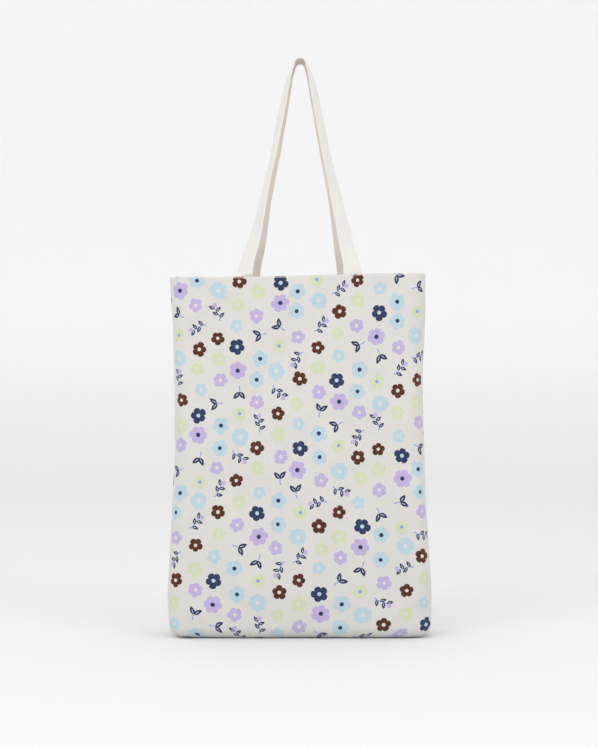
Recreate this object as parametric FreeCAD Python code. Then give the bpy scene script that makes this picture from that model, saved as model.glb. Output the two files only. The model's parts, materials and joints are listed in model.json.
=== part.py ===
"""Printed canvas tote bag that folds away: a boxed cloth body and two webbing handles.

Millimetres. +Z is up and the front faces -Y. The origin is on the floor, under the middle of the base.
"""
import FreeCAD, Part
import math
import os

from FreeCAD import Vector

# ---- driving dimensions -------------------------------------------------------------------
BASE_WIDTH = 292.0        # left to right at the floor
RIM_WIDTH = 285.0         # left to right at the mouth
BASE_DEPTH = 80.0         # front to back at the floor
RIM_DEPTH = 70.0          # front to back at the mouth
BAG_HEIGHT = 400.0        # floor to rim
UPRIGHT_RADIUS = 24.0     # the soft upright corners
BASE_RADIUS = 11.0        # the soft edge between the walls and the base
CLOTH = 1.0               # one layer of canvas
HEM_HEIGHT = 26.0         # cloth turned to the inside at the rim
SEAM_ALLOWANCE = 10.0     # how far a seam's raw edges stand into the bag
SEAM_LAYERS = 2           # layers of cloth in a seam
CORNER_SEAM_INSET = 18.0  # from the side wall to the boxed corner's seam
CORNER_SEAM_SHORT = 14.0  # the corner seam stops this far short of the front and back walls
THREAD_PROUD = 0.4        # how far a row of stitches stands off the cloth
THREAD_WIDTH = 0.8        # the width of a row of stitches
HEM_STITCH_DROP = 24.0    # from the rim down to the hem's stitches

WEBBING_WIDTH = 20.0
WEBBING_THICKNESS = 2.0
FRONT_SPACING = 118.0     # between the middles of the front handle's two feet
BACK_SPACING = 108.0      # between the middles of the back handle's two feet
HANDLE_RISE = 242.0       # from the rim to the top of a raised handle
FOOT_LENGTH = 24.0        # webbing sewn down inside the hem
FOOT_STITCH_MARGIN = 3.0  # from the webbing's edge to the box of stitches
HANDLES_GAP = 1.0         # between the two raised handles where they meet
RIM_CLEARANCE = 0.5       # between the rim and the free part of a handle
TWIST_AT_RIM = 12.0       # degrees that the webbing has turned just above the rim
TWIST_LOW = 52.0          # degrees at a third of the rise
TWIST_HIGH = 70.0         # degrees from half of the rise on
TWIST_AT_TOP = 90.0       # degrees at the top, where the webbing lies front to back

# the raised handle's curve: (share of the rise, share of the half spacing)
HANDLE_CURVE = (
    (0.0, 1.0), (0.05, 0.965), (0.14, 0.865), (0.24, 0.775), (0.34, 0.685), (0.45, 0.59), (0.57, 0.475),
    (0.68, 0.39), (0.81, 0.29), (0.89, 0.235), (0.94, 0.18), (0.967, 0.125), (0.988, 0.07), (1.0, 0.0),
)
SECTIONS_PER_LEG = 17
SECTION_CROWDING = 1.5    # above 1, the sections stand closer together at the handle's top

# ---- values worked out from them ----------------------------------------------------------
PAST = 20.0                                       # how far a cutting solid runs past what it cuts
HEM_FACE = 2 * CLOTH                              # the hem's inner face, in from the outside
FOOT_FACE = HEM_FACE + WEBBING_THICKNESS          # the webbing's inner face, in from the outside
FOOT_Y = RIM_DEPTH / 2 - HEM_FACE - WEBBING_THICKNESS / 2
TOP_Y = WEBBING_WIDTH / 2 + HANDLES_GAP / 2
HANDLE_START = BAG_HEIGHT + RIM_CLEARANCE
SEAM_THICKNESS = SEAM_LAYERS * CLOTH


def save(name, *solids):
    """Writes one node: a single solid, or a group of like solids."""
    shape = solids[0] if len(solids) == 1 else Part.makeCompound(list(solids))
    for solid in shape.Solids:
        assert solid.isValid() and solid.Volume > 0, name
    shape.exportStep(os.path.join("parts", name + ".step"))
    print("%-24s %2d solid(s) %10.1f mm3" % (name, len(shape.Solids), shape.Volume))


def box(x_low, x_high, y_low, y_high, z_low, z_high):
    corner = Vector(x_low, y_low, z_low)
    return Part.makeBox(x_high - x_low, y_high - y_low, z_high - z_low, corner)


def at_height(base, rim, z):
    """A size that runs evenly from the base to the rim."""
    return base + (rim - base) * z / BAG_HEIGHT


def outline(inset, z):
    """The bag's rounded-rectangle section at a height, moved in by an inset."""
    half_x = at_height(BASE_WIDTH, RIM_WIDTH, z) / 2 - inset
    half_y = at_height(BASE_DEPTH, RIM_DEPTH, z) / 2 - inset
    radius = UPRIGHT_RADIUS - inset
    diagonal = radius * (1 - math.sqrt(0.5))
    edges = []
    for turn_x, turn_y in ((1, -1), (1, 1), (-1, 1), (-1, -1)):
        along_y = Vector(turn_x * half_x, turn_y * (half_y - radius), z)
        along_x = Vector(turn_x * (half_x - radius), turn_y * half_y, z)
        middle = Vector(turn_x * (half_x - diagonal), turn_y * (half_y - diagonal), z)
        first, last = (along_x, along_y) if turn_x * turn_y < 0 else (along_y, along_x)
        if edges:
            edges.append(Part.makeLine(edges[-1].Vertexes[-1].Point, first))
        edges.append(Part.Arc(first, middle, last).toShape())
    edges.append(Part.makeLine(edges[-1].Vertexes[-1].Point, edges[0].Vertexes[0].Point))
    return Part.Wire(edges)


def form(inset, z_low, z_high, rounded=False):
    """The space inside the bag's outer surface, moved in by an inset, between two heights."""
    solid = Part.makeLoft([outline(inset, z_low), outline(inset, z_high)], True, True)
    if rounded:
        low = [edge for edge in solid.Edges if edge.BoundBox.ZMax < z_low + 1e-6]
        solid = solid.makeFillet(BASE_RADIUS - inset, low)
    return solid


def layer(outside, inside, z_low, z_high):
    """A layer of cloth that follows the walls, between two insets and two heights."""
    return form(outside, z_low, z_high).cut(form(inside, z_low - 1, z_high + 1))


def half(shape, front):
    """The front or the back half of a shape."""
    y_low, y_high = (-PAST - BASE_DEPTH, 0) if front else (0, BASE_DEPTH + PAST)
    x_far = BASE_WIDTH + PAST
    return shape.common(box(-x_far, x_far, y_low, y_high, -PAST, BAG_HEIGHT + PAST)).Solids[0]


# ---- the cloth body -----------------------------------------------------------------------
def make_panels():
    outer = form(0, 0, BAG_HEIGHT, rounded=True)
    inner = form(CLOTH, CLOTH, BAG_HEIGHT + 1, rounded=True)
    walls = outer.cut(inner)
    save("front_panel", half(walls, True))
    save("back_panel", half(walls, False))


def make_hems():
    hem = layer(CLOTH, HEM_FACE, BAG_HEIGHT - HEM_HEIGHT, BAG_HEIGHT)
    save("front_hem", half(hem, True))
    save("back_hem", half(hem, False))


def make_hem_stitching():
    low = BAG_HEIGHT - HEM_STITCH_DROP
    save("hem_stitching", layer(-THREAD_PROUD, 0, low, low + THREAD_WIDTH))


def make_seams():
    inner = form(CLOTH, CLOTH, BAG_HEIGHT - HEM_HEIGHT, rounded=True)
    side_low = CLOTH + BASE_RADIUS + SEAM_ALLOWANCE
    wall_x = RIM_WIDTH / 2 - CLOTH
    corner_x = BASE_WIDTH / 2 - CORNER_SEAM_INSET
    half_seam = SEAM_THICKNESS / 2
    corner_y = BASE_DEPTH / 2 - CORNER_SEAM_SHORT
    for name, side in (("left", -1), ("right", 1)):
        near, far = sorted((side * (wall_x - SEAM_ALLOWANCE), side * BASE_WIDTH))
        fin = box(near, far, -half_seam, half_seam, side_low, BAG_HEIGHT - HEM_HEIGHT)
        save(name + "_side_seam", fin.common(inner).Solids[0])
        near, far = sorted((side * (corner_x - SEAM_THICKNESS), side * corner_x))
        fin = box(near, far, -corner_y, corner_y, CLOTH, CLOTH + SEAM_ALLOWANCE)
        save(name + "_corner_seam", fin.common(inner).Solids[0])
    end = corner_x - SEAM_THICKNESS
    fin = box(-end, end, -half_seam, half_seam, CLOTH, CLOTH + SEAM_ALLOWANCE)
    save("base_seam", fin.common(inner).Solids[0])


# ---- the handles --------------------------------------------------------------------------
def spacing(front):
    return FRONT_SPACING if front else BACK_SPACING


def foot_box(side, front, margin=0.0):
    """The upright box that one foot of a handle fills, less a margin all round."""
    x = side * spacing(front) / 2
    reach = WEBBING_WIDTH / 2 - margin
    y_low, y_high = (-BASE_DEPTH, 0) if front else (0, BASE_DEPTH)
    z_low = BAG_HEIGHT - FOOT_LENGTH + margin
    return box(x - reach, x + reach, y_low, y_high, z_low, BAG_HEIGHT - margin)


def make_feet(name, front):
    """The two ends of a handle, sewn down inside the hem."""
    webbing = layer(HEM_FACE, FOOT_FACE, BAG_HEIGHT - FOOT_LENGTH, BAG_HEIGHT)
    save(name + "_ends", *[webbing.common(foot_box(side, front)).Solids[0] for side in (-1, 1)])


def crossing_bar(side, front, rising):
    """A bar from corner to corner of a foot's box of stitches, upright and front to back."""
    across = WEBBING_WIDTH - 2 * FOOT_STITCH_MARGIN
    up = FOOT_LENGTH - 2 * FOOT_STITCH_MARGIN
    length = math.hypot(across, up) - 2 * THREAD_WIDTH
    bar = box(-length / 2, length / 2, -BASE_DEPTH, BASE_DEPTH, -THREAD_WIDTH / 2, THREAD_WIDTH / 2)
    angle = math.degrees(math.atan2(up, across))
    bar.rotate(Vector(0, 0, 0), Vector(0, 1, 0), -angle if rising else angle)
    bar.translate(Vector(side * spacing(front) / 2, 0, BAG_HEIGHT - FOOT_LENGTH / 2))
    return bar


def make_foot_stitching(name, front):
    """A box of stitches with a cross in it, on the inner face of each foot."""
    margin = FOOT_STITCH_MARGIN
    thread = layer(FOOT_FACE, FOOT_FACE + THREAD_PROUD, BAG_HEIGHT - FOOT_LENGTH, BAG_HEIGHT)
    stitches = []
    for side in (-1, 1):
        outside = foot_box(side, front, margin)
        frame = outside.cut(foot_box(side, front, margin + THREAD_WIDTH))
        cross = crossing_bar(side, front, True).fuse(crossing_bar(side, front, False)).common(outside)
        stitches.append(thread.common(frame.fuse(cross)).Solids[0])
    save(name + "_stitching", *stitches)


def twist(share):
    """Degrees that the webbing has turned at a share of the handle's rise."""
    steps = ((0.0, TWIST_AT_RIM), (1 / 3, TWIST_LOW), (0.5, TWIST_HIGH), (0.9, TWIST_HIGH), (1.0, TWIST_AT_TOP))
    for (low, low_angle), (high, high_angle) in zip(steps, steps[1:]):
        if share <= high:
            return low_angle + (high_angle - low_angle) * (share - low) / (high - low)
    return TWIST_AT_TOP


def handle_curve(front):
    """A handle's middle line as if it were in front, from its left foot over the top to its right foot."""
    rise = HANDLE_RISE - RIM_CLEARANCE - WEBBING_THICKNESS / 2
    spread_at_rim = spacing(front) / 2
    right = [
        Vector(spread * spread_at_rim, -FOOT_Y + (FOOT_Y - TOP_Y) * share, HANDLE_START + rise * share)
        for share, spread in HANDLE_CURVE
    ]
    left = [Vector(-point.x, point.y, point.z) for point in right[:-1]]
    curve = Part.BSplineCurve()
    curve.interpolate(left + right[::-1])
    return curve, rise


def webbing_section(point, along, across):
    """A rectangle of webbing, square to its run."""
    along.normalize()
    across = across - along * across.dot(along)
    across.normalize()
    through = along.cross(across) * (WEBBING_THICKNESS / 2)
    across = across * (WEBBING_WIDTH / 2)
    corners = [point + across + through, point - across + through,
               point - across - through, point + across - through]
    return Part.makePolygon(corners + corners[:1])


def make_handle(front):
    """A handle's free part as if it were in front: webbing that turns from flat at its feet to level at its top."""
    curve, rise = handle_curve(front)
    first, last = curve.FirstParameter, curve.LastParameter
    count = 2 * SECTIONS_PER_LEG
    sections = []
    for i in range(count + 1):
        from_top = 2 * i / count - 1
        place = (1 + math.copysign(abs(from_top) ** SECTION_CROWDING, from_top)) / 2
        parameter = first + (last - first) * place
        point = curve.value(parameter)
        at_foot = i in (0, count)
        direction = 1 if i <= count / 2 else -1
        along = Vector(0, 0, direction) if at_foot else curve.tangent(parameter)[0]
        turn = math.radians(0 if at_foot else twist((point.z - HANDLE_START) / rise))
        outward = -1 if i < count / 2 else 1
        across = Vector(outward * math.cos(turn), math.sin(turn), 0)
        sections.append(webbing_section(point, along, across))
    return Part.makeLoft(sections, True, True)


def make_handles():
    save("front_handle", make_handle(True))
    save("back_handle", make_handle(False).mirror(Vector(0, 0, 0), Vector(0, 1, 0)))
    for name, is_front in (("front_handle", True), ("back_handle", False)):
        make_feet(name, is_front)
        make_foot_stitching(name, is_front)


os.makedirs("parts", exist_ok=True)
make_panels()
make_hems()
make_hem_stitching()
make_seams()
make_handles()
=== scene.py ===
"""Looks for a printed canvas tote bag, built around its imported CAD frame.

The cloth body is two panels of printed canvas, laid out flat with every motif cut out as faces, and then
formed over the bag's sections. All cloth work is in millimetres, and Blender is in metres.
"""
import json
import math
from contextlib import contextmanager

import bpy
import numpy as np
from bpy.props import FloatProperty, FloatVectorProperty, PointerProperty
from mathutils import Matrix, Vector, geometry, kdtree, noise


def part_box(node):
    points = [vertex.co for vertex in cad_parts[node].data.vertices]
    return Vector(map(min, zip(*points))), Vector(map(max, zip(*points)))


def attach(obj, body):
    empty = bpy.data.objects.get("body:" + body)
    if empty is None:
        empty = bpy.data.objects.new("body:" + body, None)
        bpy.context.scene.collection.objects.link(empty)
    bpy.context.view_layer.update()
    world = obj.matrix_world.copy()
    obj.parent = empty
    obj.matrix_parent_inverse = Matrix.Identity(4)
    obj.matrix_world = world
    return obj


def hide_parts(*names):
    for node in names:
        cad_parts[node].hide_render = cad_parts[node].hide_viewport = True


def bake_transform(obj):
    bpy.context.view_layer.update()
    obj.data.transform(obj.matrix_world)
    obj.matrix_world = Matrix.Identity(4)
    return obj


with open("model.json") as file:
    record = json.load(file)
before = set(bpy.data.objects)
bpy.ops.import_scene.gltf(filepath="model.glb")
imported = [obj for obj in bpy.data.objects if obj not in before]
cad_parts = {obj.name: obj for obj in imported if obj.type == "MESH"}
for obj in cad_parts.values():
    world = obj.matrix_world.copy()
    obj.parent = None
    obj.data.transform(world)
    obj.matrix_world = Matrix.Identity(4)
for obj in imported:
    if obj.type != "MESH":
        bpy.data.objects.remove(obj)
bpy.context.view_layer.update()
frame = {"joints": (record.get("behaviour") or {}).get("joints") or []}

bl_info = {
    "name": "Printed Tote Bag",
    "version": (1, 0, 0),
    "blender": (4, 5, 0),
    "location": "View3D > Sidebar > Tote Bag",
    "description": "Printed canvas, webbing handles, stitches and stage for a tote bag",
    "category": "Object",
}

MM = 0.001

# ---- the bag's form, in millimetres -------------------------------------------------------
RIM_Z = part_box("front_panel")[1].z / MM  # top of the rim
BASE_HALF_X = 146.0                     # half the width at the floor
RIM_HALF_X = 142.5                      # half the width at the mouth
BASE_HALF_Y = 40.0
RIM_HALF_Y = 35.0
CORNER = 19.0                           # radius of the soft upright corners
TURN = 14.0                             # radius of the edge between wall and base
FOLD = 1.0                              # radius of the fold at the rim
HEM = 26.0                              # cloth turned inside at the rim
CLOTH = 0.7                             # thickness of one layer
SPINE_X = 128.0                         # half the length of the base's middle seam

PANEL_HALF = 173.5                      # half the width of a panel's cloth
V_TURN = BASE_HALF_Y - TURN             # from the base seam to where the cloth turns up
V_WALL = V_TURN + math.pi / 2 * TURN    # to the start of the upright wall
V_RIM = V_WALL + RIM_Z - FOLD - TURN    # to the start of the fold at the rim
V_HEM = V_RIM + math.pi * FOLD          # to the start of the hem inside
V_END = V_HEM + HEM                     # to the hem's raw edge
PANEL_GAP = 0.15                        # so that the two panels just meet at the side seams

# half the width seen from the front, by height: the left side and the right side
LEFT_EDGE = ((0, 143.0), (15, 143.5), (49, 146.0), (95, 144.2), (140, 142.0), (190, 140.4), (260, 140.4),
             (340, 142.4), (400, 143.6))
RIGHT_EDGE = ((0, 146.5), (20, 147.6), (60, 147.8), (100, 146.0), (170, 143.3), (230, 141.5), (320, 141.2),
              (400, 141.4))
# how far the front and back swell, and the sides sink in, by height
SWELL = ((0, 0.5), (25, 1.6), (70, 3.0), (130, 4.0), (210, 4.4), (290, 3.0), (350, 1.2), (385, 0.3),
         (400, 0.0))
DENT = ((0, 0.0), (20, 0.6), (80, 2.0), (200, 4.2), (300, 4.4), (370, 2.4), (400, 1.6))
RIM_TILT = 2.2                          # the rim's left end is this much low, and its right end high
# soft creases: (x, z, x, z, half width, height), on the front
CREASES = (
    (-124, 352, -72, 384, 3.6, 1.7), (-138, 120, -96, 150, 7.0, 0.8), (132, 52, 92, 22, 8.0, 1.0),
    (-134, 40, -98, 18, 8.0, 0.9), (60, 386, 96, 348, 7.0, 0.5), (128, 250, 104, 300, 9.0, 0.6),
    (-60, 60, 20, 46, 10.0, 0.5), (-20, 388, -44, 352, 8.0, 0.4), (138, 180, 110, 150, 7.0, 0.6),
)


def by_height(table, z):
    """A value read from a table by height, run smoothly between its rows."""
    heights = np.array([row[0] for row in table], float)
    values = np.array([row[1] for row in table], float)
    slopes = np.gradient(values, heights)
    place = np.clip(np.searchsorted(heights, z) - 1, 0, len(heights) - 2)
    step = heights[place + 1] - heights[place]
    t = np.clip((z - heights[place]) / step, 0, 1)
    low, high = values[place], values[place + 1]
    return (
        (2 * t ** 3 - 3 * t ** 2 + 1) * low + (t ** 3 - 2 * t ** 2 + t) * step * slopes[place]
        + (3 * t ** 2 - 2 * t ** 3) * high + (t ** 3 - t ** 2) * step * slopes[place + 1]
    )


def smooth(value, low, high):
    t = np.clip((value - low) / (high - low), 0, 1)
    return t * t * (3 - 2 * t)


def rounded_section(s, half_x, half_y, radius):
    """The front half of a rounded rectangle, with s from -1 at the left seam to 1 at the right one."""
    flat_x, flat_y = half_x - radius, half_y - radius
    arc = radius * math.pi / 2
    length = flat_x + arc + flat_y
    run = np.abs(s) * length
    turn = np.clip((run - flat_x) / radius, 0, math.pi / 2)
    x = (np.minimum(run, flat_x) + radius * np.sin(turn)) * np.sign(s)
    y = -(flat_y + radius * np.cos(turn)) + np.clip(run - flat_x - arc, 0, None)
    return x, y, turn, length - run


def body_surface(u, v, way):
    """Places a panel's cloth on the bag. way is 1 for the front and -1 for the back.

    u runs across the cloth from its middle, and v from the base seam up, over the rim and down the hem.
    Returns the points in millimetres."""
    u, v = np.asarray(u, float), np.asarray(v, float)
    s = np.clip(u / PANEL_HALF, -1, 1)
    lift = np.clip((V_WALL - v) / TURN, 0, math.pi / 2)           # 0 on the wall, a right angle on the base
    fold = np.clip((v - V_RIM) / FOLD, 0, math.pi)
    z = np.where(v < V_WALL, TURN * (1 - np.sin(lift)), TURN + np.minimum(v, V_RIM) - V_WALL)
    z = z + FOLD * np.sin(fold) - np.clip(v - V_HEM, 0, None)
    inset = TURN * (1 - np.cos(lift)) + FOLD * (1 - np.cos(fold))
    share = z / RIM_Z
    half_x = BASE_HALF_X + (RIM_HALF_X - BASE_HALF_X) * share
    half_y = BASE_HALF_Y + (RIM_HALF_Y - BASE_HALF_Y) * share
    x, y, turn, from_seam = rounded_section(s, half_x - inset, half_y - inset, CORNER - inset)
    under = np.clip(1 - v / V_TURN, 0, 1)                         # 1 at the base's middle seam
    x = x * (1 - under) + under * SPINE_X * s
    y = y * (1 - under)

    world_x = x * way
    edge = np.where(world_x < 0, by_height(LEFT_EDGE, z), by_height(RIGHT_EDGE, z))
    x = x * edge / half_x

    out_x, out_y = np.sin(turn) * np.sign(s), -np.cos(turn)
    level = np.cos(lift) * np.cos(fold)                           # 1 on the wall, -1 on the hem
    facing = np.cos(turn) ** 2
    crown = np.clip(1 - (x / (half_x - 6.0)) ** 2, 0, 1) ** 0.8
    push = by_height(SWELL, z) * crown * facing * np.where(v < V_TURN, 0, 1)
    push = push - by_height(DENT, z) * smooth(from_seam, half_y * 1.5, 0.0) * np.cos(lift)
    # the seam sits in a narrow groove, with fine puckers across it
    groove = np.exp(-(from_seam / 2.2) ** 2) * 1.5 * np.cos(lift) * smooth(z, 2.0, 14.0)
    pucker = np.sin(z / 2.1 + 1.3 * np.sin(z / 9.0)) * 0.22 * np.exp(-from_seam / 7.0) * smooth(z, 12.0, 25.0)
    # slow waves in the cloth
    wave = (
        0.80 * np.sin(x / 31.0 + z / 57.0 + 0.6 * way) * np.sin(z / 38.0 + 1.1)
        + 0.50 * np.sin(x / 17.0 - z / 61.0 + 2.0 * way) * np.sin(z / 83.0 + 0.4)
        + 0.24 * np.sin(x / 9.5 + z / 27.0) * np.sin(z / 19.0 - x / 43.0)
    ) * smooth(z, 4.0, 40.0) * (1 - 0.65 * smooth(z, 360.0, 398.0))
    push = push - groove + pucker * np.cos(lift) + wave
    for x0, z0, x1, z1, width, height in CREASES:
        run = max(math.hypot(x1 - x0, z1 - z0), 1e-6)
        along = ((world_x - x0) * (x1 - x0) + (z - z0) * (z1 - z0)) / run
        off = ((world_x - x0) * (z1 - z0) - (z - z0) * (x1 - x0)) / run
        off = off + 0.06 * along * np.sin(along / run * math.pi)
        ends = smooth(along, -0.25 * run, 0.3 * run) * smooth(along, 1.25 * run, 0.7 * run)
        ridge = np.exp(-(off / width) ** 2) - 0.55 * np.exp(-((off - 1.9 * width) / width) ** 2)
        push = push + (1.1 if way > 0 else -0.8) * height * ridge * ends * np.cos(lift)
    away = np.where(fold > 0, 1.0, level) * np.where(v < V_TURN, 0, 1)
    x = x + out_x * push * away
    y = y + out_y * push * away
    # the rim's tilt, and the base's corners and long edge not quite on the floor
    tilt = RIM_TILT * (-1 + 2 * smooth(x * way, -90.0, 150.0))
    z = z + tilt * smooth(z, 250.0, RIM_Z)
    z = z + (0.8 * smooth(np.abs(x), 105.0, 146.0) + 0.40 * (1 + np.sin(x / 19.0 + 1.0))) * smooth(
        v, 0.3 * V_TURN, V_WALL) * smooth(z, 40.0, 2.0)
    return np.stack([x * way, (y - PANEL_GAP) * way, z], axis=-1)


# ---- settings -----------------------------------------------------------------------------
def ink(name, colour, words):
    return FloatVectorProperty(
        name=name, description=words, default=colour, size=3, min=0, max=1, subtype="COLOR")


def length(name, words, default, low, high):
    return FloatProperty(
        name=name, description=words, default=default, min=low, max=high, unit="LENGTH", subtype="DISTANCE")


def from_bytes(red, green, blue):
    """A colour given as it looks on a screen, as the linear one that a shader takes."""
    shown = [channel / 255 for channel in (red, green, blue)]
    return tuple(c / 12.92 if c <= 0.04045 else ((c + 0.055) / 1.055) ** 2.4 for c in shown)


class ToteClothSettings(bpy.types.PropertyGroup):
    thread_pitch: length("Thread Pitch", "Distance between the canvas's threads", 0.00085, 0.0003, 0.003)
    ground: ink("Ground", from_bytes(214, 211, 207), "Unprinted canvas")
    navy: ink("Navy", from_bytes(42, 55, 92), "Navy ink")
    sky: ink("Light Blue", from_bytes(182, 205, 215), "Light blue ink")
    lilac: ink("Lilac", from_bytes(188, 172, 214), "Lilac ink")
    lime: ink("Lime", from_bytes(205, 212, 178), "Pale lime ink")
    brown: ink("Brown", from_bytes(84, 41, 26), "Brown ink")
    stem: ink("Periwinkle", from_bytes(140, 157, 220), "Periwinkle ink of stems and buds")


class ToteWebbingSettings(bpy.types.PropertyGroup):
    width: length("Width", "Width of the webbing", 0.020, 0.01, 0.06)
    thickness: length("Thickness", "Thickness of the webbing", 0.0018, 0.0008, 0.005)
    outer: ink("Outer Face", from_bytes(240, 237, 232), "The webbing's outer face")
    # The inner face is warmer and darker than the outer face: painted shade for the shadow on the handles'
    # inner side.
    inner: ink("Inner Face", from_bytes(246, 233, 221), "The webbing's inner face, darker and warmer as painted shade")
    thread: ink("Thread", from_bytes(228, 224, 216), "Sewing thread")


class ToteStageSettings(bpy.types.PropertyGroup):
    camera_distance: length("Camera Distance", "From the camera to the middle of the bag", 2.0, 0.5, 10)
    camera_height: length("Camera Height", "Height of the camera", 0.2914, 0, 5)
    floor: ink("Floor", from_bytes(248, 248, 248), "The floor and the wall behind")


# ---- flat shapes of the print, in millimetres, with the cloth lying flat --------------------
PETAL_STEPS = 9                         # points along the edge of one petal
LEAF_STEPS = 9                          # stretches along one side of a leaf
EYE_STEPS = 12                          # points round an eye or a bud
COLUMN = 22.5                           # between neighbouring columns of motifs
ROW = 24.5                              # between the motifs of one column
STRAY = 2.6                             # how far a motif may stand from its place in the grid
COLUMN_STEP = 7                         # how far the next column is ahead in the list of motifs
# what is printed, in turn: a flower's petals, width, ink and eye's ink, or the name of a leafy motif
MOTIFS = (
    (5, 19.0, "sky", "navy"), "pair", (6, 16.0, "lilac", "ground"), (5, 17.0, "lime", "ground"),
    (5, 15.0, "brown", "ground"), "spray", (8, 19.5, "sky", "ground"), (5, 16.0, "lime", "stem"), "pair",
    (6, 20.0, "lilac", "navy"), (5, 17.5, "navy", "sky"), (5, 15.0, "sky", "ground"),
    (6, 15.0, "lime", "ground"), (5, 16.5, "brown", "ground"), "spray", (5, 16.0, "lilac", "ground"),
    (6, 18.0, "sky", "navy"),
)


class Rough:
    """Even noise that is the same every time."""

    def __init__(self, seed):
        self.seed = seed

    def at(self, index):
        return math.sin(self.seed * 12.9898 + index * 78.233) * 43758.5453 % 1.0 * 2 - 1


def turned(points, angle):
    c, s = math.cos(angle), math.sin(angle)
    return [(x * c - y * s, x * s + y * c) for x, y in points]


def bloom(width, petals, seed):
    """The outline of a flower: round petals, no two quite the same, with notches between them."""
    rough = Rough(seed)
    start = rough.at(99) * math.pi
    notch = 1.4 / petals
    reach = [width / 2 * (1 + 0.07 * rough.at(50 + k)) for k in range(petals)]
    points = []
    for k in range(petals):
        for j in range(PETAL_STEPS):
            t = j / PETAL_STEPS
            size = reach[k] if j else min(reach[k], reach[k - 1])
            r = size * (1 - notch * (1 - math.sin(math.pi * t) ** 0.52))
            angle = start + (k + t) / petals * 2 * math.pi
            points.append((r * math.cos(angle), r * math.sin(angle)))
    return points


def spot(width, seed, ragged):
    """A round spot, not quite even."""
    rough = Rough(seed + 7)
    points = []
    for i in range(EYE_STEPS):
        angle, r = 2 * math.pi * i / EYE_STEPS, width / 2 * (1 + ragged * rough.at(i))
        points.append((r * math.cos(angle), r * math.sin(angle)))
    return points


def blade(length, seed):
    """A pointed leaf from (0, 0) along +X, with its widest part nearer its foot."""
    rough = Rough(seed + 3)
    upper, lower = [], []
    for i in range(1, LEAF_STEPS):
        t = i / LEAF_STEPS
        half = 0.26 * length * math.sin(math.pi * t ** 0.8) ** 0.8 * (1 + 0.04 * rough.at(i))
        middle = 0.3 * math.sin(math.pi * t)
        upper.append((t * length, middle + half))
        lower.append((t * length, middle - half * (1 + 0.04 * rough.at(i + 20))))
    return [(0, 0)] + lower + [(length, 0)] + upper[::-1]


def stroke(points, width):
    """A line of some width through points, tapering a little to its end."""
    left, right = [], []
    for i, (x, y) in enumerate(points):
        x0, y0 = points[max(i - 1, 0)]
        x1, y1 = points[min(i + 1, len(points) - 1)]
        run = math.hypot(x1 - x0, y1 - y0)
        half = width / 2 * (1 - 0.45 * i / (len(points) - 1))
        nx, ny = -(y1 - y0) / run * half, (x1 - x0) / run * half
        left.append((x + nx, y + ny))
        right.append((x - nx, y - ny))
    return right + left[::-1]


class Print:
    """Collects the print's shapes, each with its ink. A later shape lies over an earlier one."""

    def __init__(self):
        self.shapes = []

    def add(self, colour, points, x, y, angle=0.0):
        self.shapes.append((colour, [(px + x, py + y) for px, py in turned(points, angle)]))

    def flower(self, x, y, motif, seed):
        petals, width, colour, eye_colour = motif
        self.add(colour, bloom(width, petals, seed), x, y)
        self.add(eye_colour, spot(0.25 * width, seed, 0.08), x, y)

    def leaf(self, x, y, length, angle, seed):
        """A navy leaf with a light vein, from its foot at (x, y)."""
        vein = ((0.2 * length, 0.1), (0.4 * length, 0.3), (0.6 * length, 0.2))
        self.add("navy", blade(length, seed), x, y, angle)
        self.add("ground", stroke(vein, 0.8), x, y, angle)

    def leaf_pair(self, x, y, angle, seed):
        """Two leaves at the end of a short stem."""
        self.add("stem", stroke(((-7.0, 0.0), (-3.5, 0.7), (0.6, 0.0)), 1.5), x, y, angle)
        for side in (-1, 1):
            self.leaf(x, y, 10.0, angle + 0.72 * side, seed + side)

    def spray(self, x, y, angle, seed):
        """A curved stem with a leaf to the left and to the right by turns, and a round bud at its tip."""
        line = [(9.0 * t, 1.8 * math.sin(2.4 * t)) for t in (-1.0, -0.6, -0.2, 0.2, 0.6, 1.0)]
        self.add("stem", stroke(line, 1.5), x, y, angle)
        for i, (px, py) in enumerate(turned(line[1:5], angle)):
            side = 1 if i % 2 else -1
            self.leaf(x + px, y + py, 7.4, angle + 0.95 * side, seed + i)
        px, py = turned(line[-1:], angle)[0]
        self.add("lilac", spot(5.2, seed, 0.05), x + px, y + py)


def lay_out_print(way):
    """Every shape of the print on one panel: a grid of motifs, with each second column half a step on."""
    page = Print()
    half, rows = round(PANEL_HALF / COLUMN), round(V_END / ROW)
    for column in range(-half, half + 1):
        for row in range(-1, rows + 1):
            seed = (31 * column + 17 * row) % 997 + (0 if way > 0 else 500)
            rough = Rough(seed)
            u = column * COLUMN + STRAY * rough.at(1)
            v = (row + 0.5 * (column % 2)) * ROW + STRAY * rough.at(2)
            angle = math.pi * rough.at(3)
            motif = MOTIFS[(COLUMN_STEP * column + row + (0 if way > 0 else 4)) % len(MOTIFS)]
            if motif == "pair":
                page.leaf_pair(u, v, angle, seed)
            elif motif == "spray":
                page.spray(u, v, angle, seed)
            else:
                page.flower(u, v, motif, seed)
    return page.shapes


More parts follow.
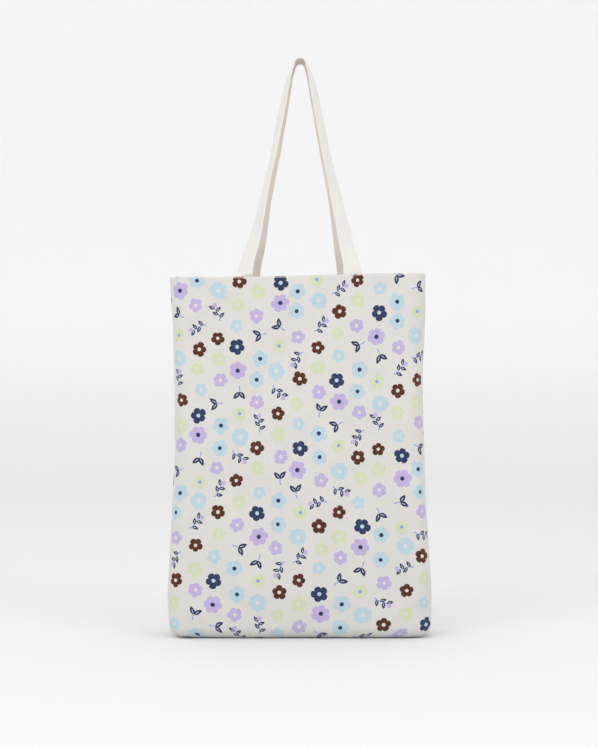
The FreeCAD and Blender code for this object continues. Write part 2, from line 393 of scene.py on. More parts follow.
# ---- materials ----------------------------------------------------------------------------
class Nodes:
    """Lays out a material's nodes."""

    def __init__(self, name):
        self.material = bpy.data.materials.new(name)
        self.material.use_nodes = True
        self.tree = self.material.node_tree

    def fill(self, node, inputs):
        """Sets a node's inputs to numbers, or links them to other nodes' outputs."""
        for key, value in inputs.items():
            if isinstance(value, bpy.types.NodeSocket):
                self.tree.links.new(value, node.inputs[key])
            else:
                node.inputs[key].default_value = value

    def node(self, kind, output, inputs, **settings):
        made = self.tree.nodes.new(kind)
        for key, value in settings.items():
            setattr(made, key, value)
        self.fill(made, inputs)
        return made.outputs[output]

    def finish(self, inputs):
        """Fills the shader's own inputs, and gives the material."""
        self.fill(self.tree.nodes["Principled BSDF"], inputs)
        return self.material

    def cloth(self):
        return self.node("ShaderNodeUVMap", "UV", {}, uv_map="Cloth")

    def place(self):
        return self.node("ShaderNodeTexCoord", "Object", {})

    def axis(self, vector, name):
        return self.node("ShaderNodeSeparateXYZ", name, {0: vector})

    def maths(self, operation, *values):
        return self.node("ShaderNodeMath", 0, dict(enumerate(values)), operation=operation)

    def mix(self, share, first, second):
        first, second = ((*c, 1.0) if isinstance(c, tuple) else c for c in (first, second))
        return self.node("ShaderNodeMix", 2, {0: share, 6: first, 7: second}, data_type="RGBA")

    def noise(self, vector, scale, detail=2.0, roughness=0.5):
        inputs = {"Vector": vector, "Scale": scale, "Detail": detail, "Roughness": roughness}
        return self.node("ShaderNodeTexNoise", "Fac", inputs)

    def ramp(self, value, low, high):
        inputs = {"Value": value, "From Min": low, "From Max": high}
        return self.node("ShaderNodeMapRange", "Result", inputs, interpolation_type="SMOOTHSTEP")

    def stretched(self, vector, scale):
        return self.node("ShaderNodeMapping", "Vector", {"Vector": vector, "Scale": scale})

    def bump(self, height, strength, distance, **under):
        inputs = {"Height": height, "Strength": strength, "Distance": distance, **under}
        return self.node("ShaderNodeBump", "Normal", inputs)


def shade(colour, by):
    return tuple(min(max(c * by, 0), 1) for c in colour)


def canvas_material(name, colour, pitch, ground, printed):
    """Plain-woven canvas, with thicker threads here and there, and ink that misses specks. Painted shade
    darkens the hollows between the threads, and a painted highlight lightens the fold at the rim.
    """
    n = Nodes(name)
    cloth = n.cloth()
    across, up = n.axis(cloth, "X"), n.axis(cloth, "Y")
    wobble = n.maths("MULTIPLY", n.noise(n.stretched(cloth, (60, 60, 60)), 1.0), 1.5)
    warp, weft = (
        n.maths("SINE", n.maths("MULTIPLY_ADD", axis, math.pi / pitch, wobble)) for axis in (across, up))
    ribs = n.maths("ADD", n.maths("ABSOLUTE", warp), n.maths("ABSOLUTE", weft))
    weave = n.maths("MULTIPLY_ADD", n.maths("MULTIPLY", warp, weft), 0.35, n.maths("MULTIPLY", ribs, 0.5))
    slubs = n.maths("ADD", *(
        n.ramp(n.noise(n.stretched(cloth, scale), 1.0, 1.0), 0.55, 0.8)
        for scale in ((900, 28, 1), (28, 900, 1))))
    patches = n.noise(cloth, 22.0, 3.0)
    tone = n.mix(n.ramp(patches, 0.3, 0.7), shade(colour, 0.975), shade(colour, 1.01))
    tone = n.mix(n.maths("MULTIPLY", slubs, 0.35 if printed else 0.28), tone, shade(colour, 0.90))
    # painted shade: darker where the weave is low, in the hollows between the threads
    tone = n.mix(n.ramp(weave, 0.55, 0.1), tone, shade(colour, 0.86))
    # painted highlight: a lighter band along the fold at the rim, where the rounded edge catches the light
    from_fold = n.maths("ABSOLUTE", n.maths("SUBTRACT", up, V_RIM * MM))
    tone = n.mix(n.maths("MULTIPLY", n.ramp(from_fold, 0.0013, 0.0005), 0.4), tone, shade(ground, 1.12))
    if printed:
        misses = n.ramp(n.noise(cloth, 1300.0, 1.0), 0.66, 0.74)
        tone = n.mix(n.maths("MULTIPLY", misses, 0.5), tone, ground)
    fine = n.bump(n.maths("MULTIPLY_ADD", slubs, 0.5, weave), 0.45, 0.00022)
    return n.finish({
        "Base Color": tone,
        "Roughness": n.maths("MULTIPLY_ADD", patches, 0.1, 0.80 if printed else 0.85),
        "Normal": n.bump(n.noise(cloth, 70.0, 3.0, 0.6), 0.16, 0.0012, Normal=fine),
        "Specular IOR Level": 0.22, "Sheen Weight": 0.12, "Sheen Roughness": 0.5,
    })


def webbing_material(name, colour):
    """Cotton webbing in a herringbone: slanted ribs that turn back at each row, and yarns along it."""
    turn_back, rib, row, yarn = 0.0033, 0.0016, 0.0011, 0.0009   # metres
    n = Nodes(name)
    cloth = n.cloth()
    across, along = n.axis(cloth, "X"), n.axis(cloth, "Y")
    rows = n.maths("MULTIPLY", along, 2 * math.pi / row)
    twill = n.maths("SINE", n.maths(
        "MULTIPLY_ADD", n.maths("PINGPONG", across, turn_back), 2 * math.pi / rib, rows))
    yarns = n.maths("SINE", n.maths("MULTIPLY", across, 2 * math.pi / yarn))
    weave = n.maths("MULTIPLY_ADD", twill, 0.5, n.maths("MULTIPLY", yarns, 0.28))
    fuzz = n.noise(cloth, 900.0)
    tone = n.mix(n.ramp(n.noise(cloth, 45.0), 0.3, 0.7), shade(colour, 0.97), shade(colour, 1.01))
    # painted shade: darker where the weave is low, in the hollows between the ribs and yarns
    tone = n.mix(n.ramp(weave, 0.1, -0.6), tone, shade(colour, 0.84))
    tone = n.mix(n.maths("MULTIPLY", n.ramp(fuzz, 0.5, 0.75), 0.25), tone, shade(colour, 1.04))
    return n.finish({
        "Base Color": tone,
        "Roughness": n.maths("MULTIPLY_ADD", fuzz, 0.1, 0.8),
        "Normal": n.bump(n.maths("MULTIPLY_ADD", fuzz, 0.3, weave), 0.6, 0.0003),
        "Specular IOR Level": 0.25, "Sheen Weight": 0.2,
    })


def thread_material(name, colour):
    """Twisted sewing thread."""
    n = Nodes(name)
    place = n.place()
    slant = n.maths("MULTIPLY", n.axis(place, "X"), 9000.0)
    for axis, turns in (("Z", 7000.0), ("Y", 5000.0)):
        slant = n.maths("MULTIPLY_ADD", n.axis(place, axis), turns, slant)
    plies = n.maths("SINE", slant)
    fuzz = n.noise(place, 2500.0)
    # painted shade: darker in the grooves between the thread's plies
    tone = n.mix(n.ramp(plies, -0.9, 0.3), shade(colour, 0.84), colour)
    return n.finish({
        "Base Color": n.mix(n.maths("MULTIPLY", fuzz, 0.2), tone, shade(colour, 0.92)),
        "Roughness": n.maths("MULTIPLY_ADD", fuzz, 0.2, 0.5),
        "Normal": n.bump(plies, 0.5, 0.0001),
        "Sheen Weight": 0.1,
    })


def floor_material(colour):
    n = Nodes("studio_floor")
    place = n.place()
    # painted shade: the flat floor is darker than the wall it curves into, to take back the light from above
    # that falls on it
    flat = n.mix(n.noise(place, 1.2), shade(colour, 0.885), shade(colour, 0.895))
    return n.finish({
        "Base Color": n.mix(n.ramp(n.axis(place, "Z"), 0.0, 0.5), flat, colour),
        "Roughness": n.ramp(n.noise(place, 3.0, 1.0), -3.0, 1.2),
        "Specular IOR Level": 0.1,
    })


# ---- mesh helpers -------------------------------------------------------------------------
def new_piece(name, points_mm, faces, materials=(), slots=None, rounded=True):
    """A new mesh object from points in millimetres."""
    mesh = bpy.data.meshes.new(name)
    mesh.from_pydata([tuple(p) for p in np.asarray(points_mm) * MM], [], [tuple(map(int, f)) for f in faces])
    for material in materials:
        mesh.materials.append(material)
    if slots is not None:
        mesh.polygons.foreach_set("material_index", np.asarray(slots, np.int32))
    if rounded:
        mesh.polygons.foreach_set("use_smooth", np.ones(len(mesh.polygons), bool))
    piece = bpy.data.objects.new(name, mesh)
    bpy.context.scene.collection.objects.link(piece)
    mesh.update()
    return piece


@contextmanager
def editing(piece):
    """Edit mode, with one object and all of its mesh selected."""
    bpy.ops.object.select_all(action="DESELECT")
    piece.select_set(True)
    bpy.context.view_layer.objects.active = piece
    bpy.ops.object.mode_set(mode="EDIT")
    bpy.ops.mesh.select_all(action="SELECT")
    yield
    bpy.ops.object.mode_set(mode="OBJECT")


def face_out(piece):
    with editing(piece):
        bpy.ops.mesh.normals_make_consistent(inside=False)


def write_map(mesh, name, uv):
    """Gives the mesh a UV map, with one place for each corner."""
    layer = mesh.uv_layers.get(name) or mesh.uv_layers.new(name=name)
    layer.data.foreach_set("uv", np.asarray(uv, np.float32).ravel())


def corner_points(mesh):
    index = np.zeros(len(mesh.loops), np.int32)
    mesh.loops.foreach_get("vertex_index", index)
    return index


def unit(vectors):
    """Each vector at a length of one."""
    return vectors / np.linalg.norm(vectors, axis=-1, keepdims=True)


def square_to(vectors, along):
    """The directions nearest to the vectors that are square to the unit directions along."""
    return unit(vectors - along * (vectors * along).sum(-1, keepdims=True))


def run_of(points):
    """How far each point is along a line."""
    return np.concatenate([[0], np.cumsum(np.linalg.norm(np.diff(points, axis=0), axis=1))])


def read_along(values, run, place):
    """What a line's values are at other places along it."""
    return np.stack([np.interp(place, run, values[:, i]) for i in range(3)], 1)


def loft(rings):
    """Points and faces of a closed solid, from one array of points for each lane along it."""
    points = np.stack(rings, 1)
    count, sides = points.shape[:2]
    faces = [
        (i * sides + k, i * sides + (k + 1) % sides, (i + 1) * sides + (k + 1) % sides, (i + 1) * sides + k)
        for i in range(count - 1) for k in range(sides)
    ]
    faces.append(tuple(range(sides))[::-1])
    faces.append(tuple((count - 1) * sides + k for k in range(sides)))
    return points.reshape(-1, 3), faces


def tube(points, width, outward, sides=4):
    """Points and faces of a closed thread that follows points; outward is the side it stands on."""
    along = unit(np.gradient(points, axis=0))
    out = square_to(outward, along)
    side = np.cross(along, out)
    angles = [2 * math.pi * k / sides for k in range(sides)]
    return loft([points + (side * math.cos(a) + out * math.sin(a)) * (width / 2) for a in angles])


class Pile:
    """Gathers many small shapes into one mesh."""

    def __init__(self):
        self.points, self.faces, self.slots, self.count = [], [], [], 0

    def add(self, points, faces, slot=0):
        self.points.append(np.asarray(points, float))
        self.faces.extend(tuple(i + self.count for i in face) for face in faces)
        self.slots.extend([slot] * len(faces))
        self.count += len(points)

    def piece(self, name, materials):
        made = new_piece(name, np.concatenate(self.points), self.faces, materials, self.slots)
        face_out(made)
        return made


def stitch_shape():
    """One stitch, modelled once: a rounded lozenge one unit long, wide and high, lying along X."""
    bpy.ops.object.select_all(action="DESELECT")
    bpy.ops.mesh.primitive_uv_sphere_add(segments=8, ring_count=5, radius=0.5, location=(0, 0, 0))
    ball = bpy.context.object
    with editing(ball):
        bpy.ops.transform.rotate(value=math.pi / 2, orient_axis="Y", center_override=(0, 0, 0))
    points = np.array([v.co for v in ball.data.vertices], float)
    faces = [tuple(p.vertices) for p in ball.data.polygons]
    points[:, 0] = np.sign(points[:, 0]) * np.abs(points[:, 0] * 2) ** 0.7 / 2
    bpy.data.objects.remove(ball)
    return points, faces


def sew_row(pile, shape, places, outward, long, wide, high):
    """Lays stitches end to end along a row of places, each one from its place to the next."""
    points, faces = shape
    for start, end, out in zip(places[:-1:2], places[1::2], outward[:-1:2]):
        along = unit(end - start)
        out = square_to(out, along)
        side = np.cross(out, along)
        pile.add((start + end) / 2 + points[:, :1] * (end - start) * long + points[:, 1:2] * side * wide
                 + points[:, 2:] * out * high, faces)


# ---- the cloth body -----------------------------------------------------------------------
def steps(stops):
    """Numbers from the first stop to the last. Each stop is a start and the spacing from there on."""
    found = []
    for (low, gap), (high, _) in zip(stops, stops[1:]):
        count = max(round((high - low) / gap), 1)
        found.extend(low + (high - low) * i / count for i in range(count))
    return np.array(found + [stops[-1][0]])


def cut_panel(way):
    """One panel lying flat: its points, its triangles and the ink of each."""
    right = steps([(0.0, 5.0), (115.0, 3.2), (160.0, 4.0), (168.0, 1.3), (PANEL_HALF, 0)])
    columns = np.concatenate([-right[:0:-1], right])
    rows = steps([(0.0, 4.0), (V_TURN - 4, 1.9), (V_WALL + 4, 4.9), (V_RIM - 5, 1.6), (V_RIM, 0.5),
                  (V_HEM, 1.4), (V_HEM + 4, 3.6), (V_END, 0)])
    points, edges, faces, inks = [], [], [], []
    border = (
        [(u, 0.0) for u in columns] + [(PANEL_HALF, v) for v in rows[1:]]
        + [(u, V_END) for u in columns[-2::-1]] + [(-PANEL_HALF, v) for v in rows[-2:0:-1]]
    )
    points.extend(border)
    edges.extend((i, (i + 1) % len(border)) for i in range(len(border)))
    for name, shape in lay_out_print(way):
        area = sum(x0 * y1 - x1 * y0 for (x0, y0), (x1, y1) in zip(shape, shape[1:] + shape[:1]))
        if area < 0:
            shape = shape[::-1]
        faces.append(list(range(len(points), len(points) + len(shape))))
        inks.append(name)
        points.extend(shape)
    taken = kdtree.KDTree(len(points))
    for i, (x, y) in enumerate(points):
        taken.insert((x, y, 0), i)
    taken.balance()
    for v in rows[1:-1]:
        apart = 0.22 if V_RIM - 1 < v < V_HEM + 1 else 1.1
        for u in columns[1:-1]:
            if taken.find((u, v, 0))[2] > apart:
                points.append((u, v))
    found = geometry.delaunay_2d_cdt([Vector(p) for p in points], edges, faces, 0, 1e-5, True)
    flat = np.array([(p.x, p.y) for p in found[0]])
    triangles, colours = [], []
    for triangle, sources in zip(found[2], found[5]):
        corners = flat[list(triangle)]
        middle = corners.mean(0)
        if not (abs(middle[0]) < PANEL_HALF and 0 < middle[1] < V_END):
            continue
        triangles.append(triangle)
        colours.append(inks[max(sources)] if sources else "ground")
    used = sorted({i for triangle in triangles for i in triangle})
    place = {old: new for new, old in enumerate(used)}
    return flat[used], [tuple(place[i] for i in triangle) for triangle in triangles], colours


INK_NAMES = ("ground", "navy", "sky", "lilac", "lime", "brown", "stem")


def canvas_materials():
    settings = bpy.context.scene.tote_cloth
    ground = tuple(settings.ground)
    pitch = settings.thread_pitch
    made = [
        canvas_material("canvas_" + name, tuple(getattr(settings, name)), pitch, ground, name != "ground")
        for name in INK_NAMES
    ]
    return made + [canvas_material("canvas_inside", shade(ground, 0.96), pitch, ground, False)]


def sew_panel(name, way, materials):
    flat, triangles, colours = cut_panel(way)
    points = body_surface(flat[:, 0], flat[:, 1], way)
    piece = new_piece(name, points, triangles, materials, [INK_NAMES.index(c) for c in colours])
    mesh = piece.data
    corners = corner_points(mesh)
    write_map(mesh, "Cloth", flat[corners] * MM)
    size, edge, far_edge = V_END * 1.02, 0.006, 0.985             # of the bake's square map
    write_map(mesh, "OFBake", ((flat + (PANEL_HALF, 0)) / size + edge)[corners])
    with editing(piece):
        bpy.ops.mesh.remove_doubles(threshold=0.03 * MM)
        bpy.ops.mesh.dissolve_degenerate(threshold=0.004 * MM)
    wall = piece.modifiers.new("wall", "SOLIDIFY")
    wall.thickness = CLOTH * MM
    wall.offset = -1.0
    wall.use_rim = True
    wall.material_offset = len(materials)
    wall.material_offset_rim = len(materials)
    bpy.ops.object.modifier_apply(modifier=wall.name)
    mesh = piece.data
    # the unprinted side has its own, smaller place on the bake's map
    layer = mesh.uv_layers["OFBake"]
    uv = np.zeros(len(mesh.loops) * 2, np.float32)
    layer.data.foreach_get("uv", uv)
    uv = uv.reshape(-1, 2)
    slots = np.zeros(len(mesh.polygons), np.int32)
    mesh.polygons.foreach_get("material_index", slots)
    totals = np.zeros(len(mesh.polygons), np.int32)
    mesh.polygons.foreach_get("loop_total", totals)
    inside = np.repeat(slots == len(materials) - 1, totals)
    wide = 2 * PANEL_HALF / size
    left = wide + 0.02
    uv[inside] = (uv[inside] - edge) * ((far_edge - left) / wide) + (left, edge)
    layer.data.foreach_set("uv", uv.ravel())
    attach(piece, "bag")
    side = "front" if way > 0 else "back"
    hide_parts(side + "_panel", side + "_hem")
    return piece


class TOTE_OT_sew_panels(bpy.types.Operator):
    """Cuts the two printed canvas panels and forms them over the bag"""

    bl_idname = "tote.sew_panels"
    bl_label = "Sew Panels"

    def execute(self, context):
        materials = canvas_materials()
        sew_panel("front_canvas", 1, materials)
        sew_panel("back_canvas", -1, materials)
        return {"FINISHED"}


class TOTE_OT_sew_seams(bpy.types.Operator):
    """Makes the seams inside the bag: raw edges, overlocked together"""

    bl_idname = "tote.sew_seams"
    bl_label = "Sew Seams"

    def execute(self, context):
        settings = context.scene.tote_cloth
        ground = tuple(settings.ground)
        inside = canvas_material("canvas_seam", shade(ground, 0.95), settings.thread_pitch, ground, False)
        thread = thread_material("thread_overlock", tuple(context.scene.tote_webbing.thread))
        materials, up = (inside, thread), np.array([0.0, 0.0, 1.0])
        low, high = V_WALL + 12.0, V_RIM - HEM + 1.0
        for name, way in (("left", -1), ("right", 1)):
            v = steps([(low, 2.2), (high, 0)])
            root = body_surface(np.full_like(v, way * PANEL_HALF), v, 1)
            root[:, 1] = 0
            inward = np.array([-way, 0.0, 0.0])
            self.strip(name + "_side_seam", root + inward * (CLOTH + 0.1), inward, (0, 1, 0), 9.5, materials)
            y_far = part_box(name + "_corner_seam")[1].y / MM
            x = way * (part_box("right_corner_seam")[1].x / MM - 1.0)
            y = steps([(-y_far + 0.6, 1.8), (y_far - 0.6, 0)])
            root = np.stack([np.full_like(y, x), y, np.full_like(y, CLOTH + 0.3)], 1)
            self.strip(name + "_corner_seam", root, up, (1, 0, 0), 9.0, materials)
        x_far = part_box("base_seam")[1].x / MM
        x = steps([(-x_far + 0.6, 2.2), (x_far - 0.6, 0)])
        root = np.stack([x, np.zeros_like(x), np.full_like(x, CLOTH + 0.3)], 1)
        self.strip("base_seam", root, up, (0, 1, 0), 9.0, materials)
        return {"FINISHED"}

    def strip(self, node, root, inward, across, depth, materials):
        """Two raw edges pressed together, standing in from root, with thread looped over them."""
        across = np.asarray(across, float)
        count = len(root)
        sway = np.array([noise.noise(Vector((i * 0.11, len(node), 0.5))) for i in range(count)])
        profile = ((-0.9, 0.0), (-0.95, 0.45), (-0.8, 0.93), (-0.35, 1.0), (0.0, 0.965), (0.35, 1.0),
                   (0.8, 0.93), (0.95, 0.45), (0.9, 0.0))
        rings = []
        for width, reach in profile:
            lean = (reach ** 2) * sway[:, None] * 1.1
            aside = width * (0.82 + 0.1 * reach)
            rings.append(root + inward * (depth * reach) + across * aside + across * lean)
        pile = Pile()
        pile.add(*loft(rings))
        # the overlock thread: over the raw edge and back, again and again
        run = run_of(root)
        place = np.arange(0.8, run[-1] - 0.8, 0.55)
        base = read_along(root, run, place)
        lean = np.interp(place, run, sway)
        cycle = np.arange(len(place)) % 4
        side = np.choose(cycle, (-1.0, -0.55, 1.0, 0.55))
        reach = np.choose(cycle, (0.55, 1.045, 0.55, 1.045))
        loops = (base + inward * (depth * reach)[:, None] + across * (side * 1.02)[:, None]
                 + across * (reach ** 2 * lean * 1.1)[:, None])
        pile.add(*tube(loops, 0.42, inward + across * 0.01), 1)
        piece = pile.piece(node + "_strip", materials)
        write_cloth_map(piece)
        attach(piece, "bag")
        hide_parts(node)


def write_cloth_map(piece):
    """A map in metres for the weave: the whole piece laid flat along the two directions it spreads furthest.
    """
    mesh = piece.data
    co = np.array([v.co for v in mesh.vertices], float)
    corners = corner_points(mesh)
    spread = co.max(0) - co.min(0)
    first, second = np.argsort(-spread)[:2]
    write_map(mesh, "Cloth", co[corners][:, [second, first]])


class TOTE_OT_stitch_hem(bpy.types.Operator):
    """Sews the row of stitches that holds the hem, right round the mouth"""

    bl_idname = "tote.stitch_hem"
    bl_label = "Stitch Hem"

    def execute(self, context):
        thread = thread_material("thread_hem", tuple(context.scene.tote_webbing.thread))
        shape = stitch_shape()
        pile = Pile()
        v = V_RIM + FOLD - 24.2
        for way in (1, -1):
            u = np.arange(-PANEL_HALF + 2.2, PANEL_HALF - 2.0, 1.55)
            rows = np.full_like(u, v)
            places = body_surface(u, rows, way)
            out = surface_normal(u, rows, way)
            sew_row(pile, shape, places + out * 0.04, out, 1.15, 0.50, 0.40)
        piece = pile.piece("hem_stitches", (thread,))
        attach(piece, "bag")
        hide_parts("hem_stitching")
        return {"FINISHED"}


def surface_normal(u, v, way):
    """The outward direction of the cloth."""
    ahead = body_surface(u + 0.4, v, way) - body_surface(u - 0.4, v, way)
    above = body_surface(u, v + 0.4, way) - body_surface(u, v - 0.4, way)
    return unit(np.cross(ahead, above))


# ---- the handles --------------------------------------------------------------------------
HANDLES = (("front_handle", 1), ("back_handle", -1))
# half the distance between a handle's legs, by the share of its rise
CROWN, CROWN_HALF = .967, 7.4            # the share where the top's round bend starts, and its half width
ARCH = ((.68, 23.2), (.816, 17.0), (.89, 13.4), (.94, 10.2), (CROWN, CROWN_HALF), (.988, 4.2), (1, 0.0))
FRONT_SPREAD = ((0, 59.0), (.05, 57.3), (.137, 51.2), (.238, 45.8), (.34, 40.6), (.44, 35.2), (.57, 28.2),
                *ARCH)
BACK_SPREAD = ((0, 53.5), (.05, 52.2), (.137, 47.6), (.238, 43.6), (.34, 39.4), (.44, 34.6), (.57, 28.0),
               *ARCH)
# degrees that each leg's webbing has turned, by the share of the rise
TWIST_SHARES = (0, .06, .137, .238, .34, .44, .6, .8, .9, 1)
FRONT_TWIST = {-1: (30, 38, 45, 58, 66, 74, 75, 74, 78, 90), 1: (12, 22, 34, 42, 48, 56, 63, 66, 72, 90)}
BACK_TWIST = {-1: (18, 26, 36, 48, 56, 60, 62, 66, 74, 90), 1: (12, 22, 34, 44, 52, 58, 63, 66, 72, 90)}
HANDLE_SHIFT = 1.8                      # the handles stand this far to the right of the middle
FOOT = 24.0                             # webbing sewn down inside the hem
WEBBING_STEP = 0.66                     # between the rows of points along the webbing


def strap_line(way, thickness):
    """A handle's middle line, its webbing's across direction, and how far each point is along it."""
    front = way > 0
    spread, twist = (FRONT_SPREAD, FRONT_TWIST) if front else (BACK_SPREAD, BACK_TWIST)
    node = "front_handle" if front else "back_handle"
    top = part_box(node)[1].z / MM - thickness / 2
    start = RIM_Z + 0.5
    foot_y = RIM_HALF_Y - 2 * FOLD - thickness / 2 - 0.15
    top_y = 10.5
    rise = top - start
    bend = np.sin(np.linspace(0, 1, 110)[1:] * math.pi / 2)
    shares = np.concatenate([np.linspace(0, 0.86, 270), 0.86 + 0.14 * bend])
    legs = []
    for side in (-1, 1):
        half = by_height(spread, shares)
        near_top = shares > CROWN
        drop = (1 - shares[near_top]) / (1 - CROWN)
        half[near_top] = CROWN_HALF * np.sqrt(np.clip(1 - (1 - drop) ** 2, 0, 1))
        turns = list(zip(TWIST_SHARES, twist[side]))
        angle = np.radians(by_height(turns, shares))
        x = side * half + HANDLE_SHIFT * smooth(shares, -0.05, 0.25)
        y = -foot_y + (foot_y - top_y) * shares
        z = start + rise * shares
        # the foot, flat on the hem below the rim
        down = np.linspace(-FOOT, -0.45, 34)
        x_foot = np.full_like(down, x[0])
        lean = math.radians(by_height(turns, 0.0))
        foot_angle = lean * smooth(down, -3.0, 2.5)
        line = np.concatenate([
            np.stack([x_foot, np.full_like(down, -foot_y), start + down], 1), np.stack([x, y, z], 1)])
        turn = np.concatenate([foot_angle, np.maximum(angle, 0)])
        turn = smooth_run(turn, 5)
        across = np.stack([side * np.cos(turn), np.sin(turn), np.zeros_like(turn)], 1)
        legs.append((line, across))
    left, right = legs
    line = np.concatenate([left[0], right[0][::-1][1:]])
    across = np.concatenate([left[1], right[1][::-1][1:]])
    line[:, 1] *= way
    across[:, 1] *= way
    return line, across, run_of(line)


def smooth_run(values, times):
    values = values.copy()
    for _ in range(times):
        values[1:-1] = (values[:-2] + 2 * values[1:-1] + values[2:]) / 4
    return values


def even_line(line, across, run):
    """The same line with points at an even spacing."""
    place = np.linspace(0, run[-1], int(run[-1] / WEBBING_STEP) + 1)
    return read_along(line, run, place), read_along(across, run, place), place


class TOTE_OT_make_handles(bpy.types.Operator):
    """Makes the two webbing handles, from the feet inside the hem over the top"""

    bl_idname = "tote.make_handles"
    bl_label = "Make Handles"

    def execute(self, context):
        settings = context.scene.tote_webbing
        outer = webbing_material("webbing_outer", tuple(settings.outer))
        # the inner face's material carries painted shade: a warmer, darker colour than the outer face
        inner = webbing_material("webbing_inner", tuple(settings.inner))
        for name, way in HANDLES:
            self.strap(name, way, settings.width / MM, settings.thickness / MM, (outer, inner))
        return {"FINISHED"}

    def strap(self, node, way, width, thickness, materials):
        line, across, run = even_line(*strap_line(way, thickness))
        along = unit(np.gradient(line, axis=0))
        across = square_to(across, along)
        through = np.cross(along, across) * way               # towards the webbing's outer face
        flat = width / 2 - thickness / 2
        lanes = np.concatenate([np.linspace(flat, -flat, 7), np.linspace(-flat, flat, 7)])
        corner = thickness * 0.36
        sides = [(x, thickness / 2) for x in lanes[:7]]
        sides += [(-flat - corner, corner), (-width / 2, 0.0), (-flat - corner, -corner)]
        sides += [(x, -thickness / 2) for x in lanes[7:]]
        sides += [(flat + corner, -corner), (width / 2, 0.0), (flat + corner, corner)]
        count, ring = len(line), len(sides)
        step = np.arange(count)
        wander = np.array([noise.noise(Vector((i * 0.012, way * 5.0, 0.2))) for i in range(count)])
        rings = []
        for x, y in sides:
            edge = abs(x) > flat
            knit = np.where(step % 2 == 0, 0.16, -0.16) * (1 if edge else 0) * np.sign(x)
            cup = 0.35 * wander * (1 - (2 * x / width) ** 2)
            rings.append(line + across * (x + knit)[:, None] + through * (y + cup)[:, None])
        # slot 1 is the inner face, with its painted shade
        slots = [1 if 8 <= k <= 16 else 0 for k in range(ring)] * (count - 1) + [0, 0]
        piece = new_piece(node + "_strap", *loft(rings), materials, slots)
        # the weave's map: across the webbing and along it, in metres
        girth = run_of(np.array(sides + sides[:1]))
        uv = []
        for i in range(count - 1):
            for k in range(ring):
                low, high = i * WEBBING_STEP, (i + 1) * WEBBING_STEP
                uv += [(girth[k], low), (girth[k + 1], low), (girth[k + 1], high), (girth[k], high)]
        for end, order in ((0, range(ring - 1, -1, -1)), (count - 1, range(ring))):
            uv += [sides[k] for k in order]
        write_map(piece.data, "Cloth", np.array(uv) * MM)
        face_out(piece)
        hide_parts(node, node + "_ends")
        _, y, z = [joint for joint in frame["joints"] if joint["child"] == node][0]["pos_m"]
        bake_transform(piece)


class TOTE_OT_stitch_handles(bpy.types.Operator):
    """Sews a box of stitches with a cross in it on each foot of the handles, inside the bag"""

    bl_idname = "tote.stitch_handles"
    bl_label = "Stitch Handles"

    def execute(self, context):
        settings = context.scene.tote_webbing
        shape = stitch_shape()
        for name, way in HANDLES:
            thread = thread_material("thread_" + name, tuple(settings.thread))
            pile = Pile()
            line, _, _ = strap_line(way, settings.thickness / MM)
            face = RIM_HALF_Y - 2 * FOLD - settings.thickness / MM - 0.15
            for x in (line[0, 0], line[-1, 0]):
                self.box(pile, shape, x, -way * (face - 0.12), way)
            piece = pile.piece(name + "_stitches", (thread,))
            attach(piece, "bag")
            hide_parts(name + "_stitching")
        return {"FINISHED"}

    def box(self, pile, shape, x, y, way):
        reach, low, high = 7.0, RIM_Z - 21.0, RIM_Z - 3.5
        corners = [(x - reach, low), (x + reach, low), (x + reach, high), (x - reach, high), (x - reach, low)]
        runs = list(zip(corners, corners[1:])) + [(corners[0], corners[2]), (corners[1], corners[3])]
        for (x0, z0), (x1, z1) in runs:
            count = max(int(math.hypot(x1 - x0, z1 - z0) / 1.35) // 2 * 2, 2)
            t = np.linspace(0, 1, count + 1)
            places = np.stack([x0 + (x1 - x0) * t, np.full_like(t, y), z0 + (z1 - z0) * t], 1)
            out = np.broadcast_to(np.array([0.0, way, 0.0]), places.shape)
            sew_row(pile, shape, places, out, 1.25, 0.62, 0.46)


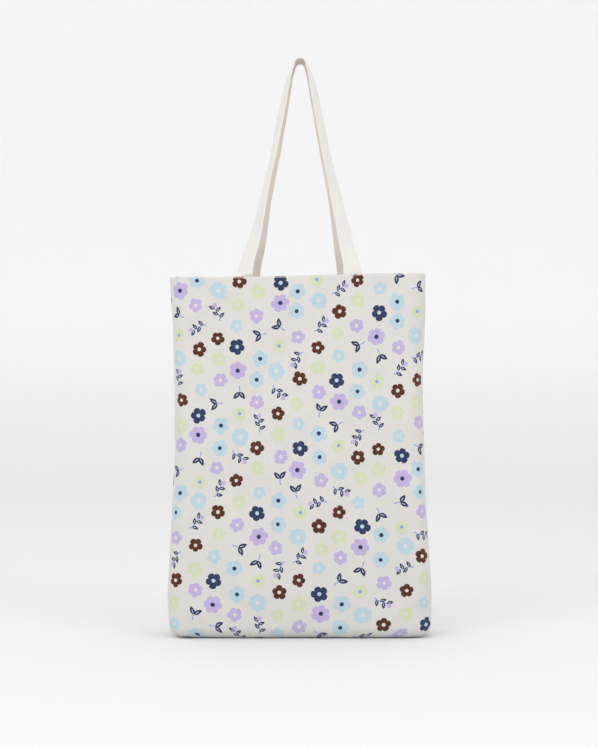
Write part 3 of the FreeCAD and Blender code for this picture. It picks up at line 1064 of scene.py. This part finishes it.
# ---- the stage ----------------------------------------------------------------------------
class TOTE_OT_set_stage(bpy.types.Operator):
    """Sets the floor, the lights and the camera"""

    bl_idname = "tote.set_stage"
    bl_label = "Set Stage"

    def execute(self, context):
        settings = context.scene.tote_stage
        self.sweep(tuple(settings.floor))
        self.light("key_light", (-1.5, -2.2, 1.7), 2.2, 20.0)
        self.light("fill_light", (2.0, -2.0, 1.6), 1.9, 13.0)
        self.light("top_light", (0.0, 0.3, 2.9), 2.6, 5.0)
        world = bpy.data.worlds.new("studio")
        world.use_nodes = True
        glow = world.node_tree.nodes["Background"].inputs
        glow["Color"].default_value = (1, 1, 1, 1)
        glow["Strength"].default_value = 0.925
        context.scene.world = world
        context.scene.view_settings.view_transform = "Standard"
        bpy.ops.object.camera_add(
            location=(0.0005, -settings.camera_distance, settings.camera_height),
            rotation=(math.pi / 2, 0, 0))
        camera = bpy.context.object
        camera.name = "camera"
        camera.data.lens = 86.2
        camera.data.sensor_width = 36.0
        camera.data.clip_start = 0.05
        context.scene.camera = camera
        return {"FINISHED"}

    def sweep(self, colour):
        """A round floor that curves up into a wall all round."""
        radius, bend, top = 3.4, 0.9, 2.6
        outline = [(radius - bend) * t for t in (0.0, 0.2, 0.4, 0.6, 0.8, 1.0)]
        profile = [(x, 0.0, 0.0) for x in outline]
        profile += [
            (radius - bend + bend * math.sin(a), 0.0, bend - bend * math.cos(a))
            for a in (math.pi / 2 * k / 12 for k in range(1, 13))
        ]
        profile.append((radius, 0.0, top))
        mesh = bpy.data.meshes.new("studio_floor")
        mesh.from_pydata(profile, [(i, i + 1) for i in range(len(profile) - 1)], [])
        floor = bpy.data.objects.new("studio_floor", mesh)
        bpy.context.scene.collection.objects.link(floor)
        with editing(floor):
            bpy.ops.mesh.spin(steps=72, angle=2 * math.pi, center=(0, 0, 0), axis=(0, 0, 1))
            bpy.ops.mesh.select_all(action="SELECT")
            bpy.ops.mesh.remove_doubles(threshold=0.0005)
            bpy.ops.mesh.normals_make_consistent(inside=True)
        bpy.ops.object.shade_smooth()
        floor.data.materials.append(floor_material(colour))

    def light(self, name, place, size, power):
        bpy.ops.object.light_add(type="AREA", location=place)
        lamp = bpy.context.object
        lamp.name = name
        lamp.data.shape = "DISK"
        lamp.data.size = size
        lamp.data.energy = power
        lamp.visible_camera = False
        aim = Vector((0, 0, 0.3)) - Vector(place)
        lamp.rotation_euler = aim.to_track_quat("-Z", "Y").to_euler()


# ---- the panel and the order of work --------------------------------------------------------
OPERATORS = (TOTE_OT_sew_panels, TOTE_OT_sew_seams, TOTE_OT_stitch_hem, TOTE_OT_make_handles,
             TOTE_OT_stitch_handles, TOTE_OT_set_stage)
SETTINGS = (("tote_cloth", ToteClothSettings), ("tote_webbing", ToteWebbingSettings),
            ("tote_stage", ToteStageSettings))


class TOTE_PT_sidebar(bpy.types.Panel):
    """Lists the steps that build the bag"""

    bl_idname = "TOTE_PT_sidebar"
    bl_label = "Tote Bag"
    bl_space_type = "VIEW_3D"
    bl_region_type = "UI"
    bl_category = "Tote Bag"

    def draw(self, context):
        for name, group in SETTINGS:
            for setting in group.__annotations__:
                self.layout.prop(getattr(context.scene, name), setting)
        for operator in OPERATORS:
            self.layout.operator(operator.bl_idname)


def register():
    for kind in (*(group for _, group in SETTINGS), *OPERATORS, TOTE_PT_sidebar):
        bpy.utils.register_class(kind)
    for name, group in SETTINGS:
        setattr(bpy.types.Scene, name, PointerProperty(type=group))


def unregister():
    for name, _ in SETTINGS:
        delattr(bpy.types.Scene, name)
    for kind in (TOTE_PT_sidebar, *reversed(OPERATORS), *(group for _, group in SETTINGS)):
        bpy.utils.unregister_class(kind)


def main():
    register()
    bpy.ops.tote.sew_panels()
    bpy.ops.tote.sew_seams()
    bpy.ops.tote.stitch_hem()
    bpy.ops.tote.make_handles()
    bpy.ops.tote.stitch_handles()
    bpy.ops.tote.set_stage()


if __name__ == "__main__":
    main()
